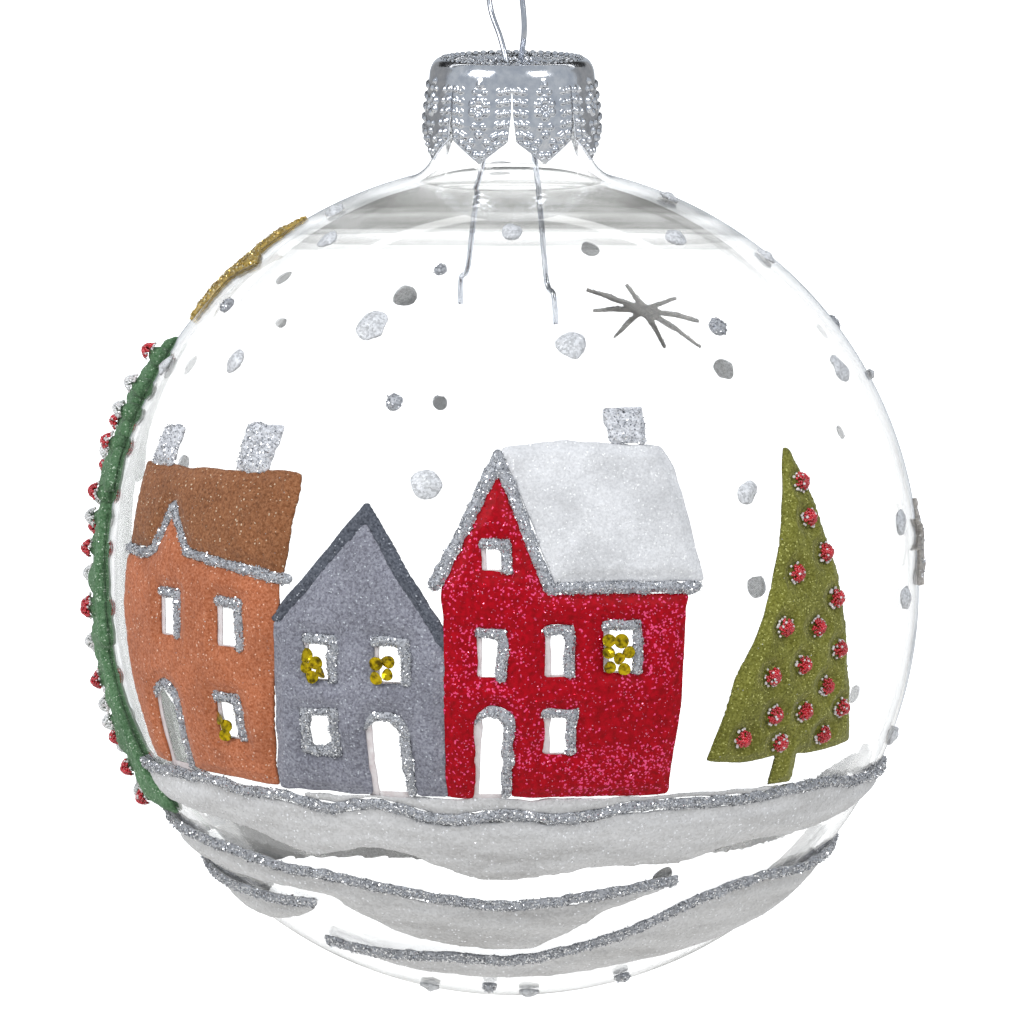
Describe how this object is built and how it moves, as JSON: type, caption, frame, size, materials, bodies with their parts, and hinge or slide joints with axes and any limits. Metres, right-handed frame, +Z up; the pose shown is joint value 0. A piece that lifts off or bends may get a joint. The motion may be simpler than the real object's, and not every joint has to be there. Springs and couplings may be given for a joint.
{
  "type": "souvenir christmas ornament",
  "caption": "Clear glass ball ornament with a crown cap, sprung wire hanging loop and a relief village of houses, trees and snow banks on the glass.",
  "frame": {"origin": "where the ornament hangs: on the ball's axis, level with the top of the inside of the wire loop", "axes": "+Z up along the ball's axis, with everything below the origin; the village faces -Y, with +X to the viewer's right"},
  "size_m": [0.0832, 0.0813, 0.1031],
  "materials": {
    "clear_glass": "clear, thin, polished",
    "pressed_tin": "bright pressed sheet with beaded petals",
    "spring_wire": "bright drawn spring wire",
    "terracotta_flock": "fine grained flock paint",
    "brown_flock": "fine grained flock paint",
    "grey_flock": "fine grained flock paint",
    "dark_grey_flock": "fine grained flock paint",
    "red_sparkle": "grained paint with pink sparkle",
    "white_flock": "fine grained flock paint",
    "olive_flock": "fine grained flock paint",
    "green_flock": "fine grained flock paint",
    "snow_sugar": "sugar-like pearly paint",
    "silver_glitter": "coarse silver glitter in glue",
    "white_glitter": "fine white glitter in glue",
    "gold_glitter": "coarse gold glitter in glue",
    "gold_sequin": "shiny pressed film",
    "red_micro_beads": "tiny clear-coated glass beads",
    "white_micro_beads": "tiny clear-coated glass beads"
  },
  "bodies": {
    "hanger": {"hanger_loop": "spring_wire"},
    "front_leg": {"hanger_leg_front": "spring_wire"},
    "back_leg": {"hanger_leg_back": "spring_wire"},
    "cap": {"cap_shell": "pressed_tin"},
    "ball": {"glass_ball": "clear_glass", "glass_shoulder": "clear_glass", "glass_neck": "clear_glass", "orange_house_wall": "terracotta_flock", "orange_house_roof": "brown_flock", "orange_house_chimneys": "silver_glitter", "orange_house_trim": "silver_glitter", "orange_house_sequins": "gold_sequin", "grey_house_wall": "grey_flock", "grey_house_roof": "dark_grey_flock", "grey_house_trim": "silver_glitter", "grey_house_sequins": "gold_sequin", "red_house_wall": "red_sparkle", "red_house_roof": "white_flock", "red_house_chimney": "silver_glitter", "red_house_trim": "silver_glitter", "red_house_sequins": "gold_sequin", "village_snow": "snow_sugar", "village_glitter": "silver_glitter", "middle_snow": "snow_sugar", "middle_glitter": "silver_glitter", "lower_snow": "snow_sugar", "lower_glitter": "silver_glitter", "left_snow": "snow_sugar", "left_glitter": "silver_glitter", "back_snow": "snow_sugar", "back_glitter": "silver_glitter", "small_tree": "olive_flock", "small_tree_beads": "red_micro_beads", "tall_tree": "green_flock", "tall_tree_beads": "red_micro_beads", "tall_tree_snowballs": "white_micro_beads", "tall_tree_star": "gold_glitter", "back_snowflake": "white_glitter", "right_snowflake": "white_glitter", "snow_dots": "white_glitter", "silver_dots": "silver_glitter"}
  },
  "joints": [
    {"name": "cap_spin", "type": "hinge", "parent": "hanger", "child": "cap", "pos_m": [0, 0, -0.01022], "axis": [0, 0, 1], "continuous": true},
    {"name": "ball_pull", "type": "slide", "parent": "cap", "child": "ball", "axis": [0, 0, -1], "range_m": [0, 0.045], "deforming": ["hanger_leg_front", "hanger_leg_back"]},
    {"name": "front_leg_squeeze", "type": "hinge", "parent": "hanger", "child": "front_leg", "pos_m": [0.0007, -0.00132, -0.01212], "axis": [0.8829, 0.4695, 0], "range_deg": [0, 12], "stiffness_Nm_per_rad": 0.02},
    {"name": "back_leg_squeeze", "type": "hinge", "parent": "hanger", "child": "back_leg", "pos_m": [-0.00056, 0.00106, -0.01212], "axis": [0.8829, 0.4695, 0], "range_deg": [-12, 0], "stiffness_Nm_per_rad": 0.02}
  ],
  "couplings": [
    {"joint": "back_leg_squeeze", "follows": "front_leg_squeeze", "ratio": -1}
  ]
}
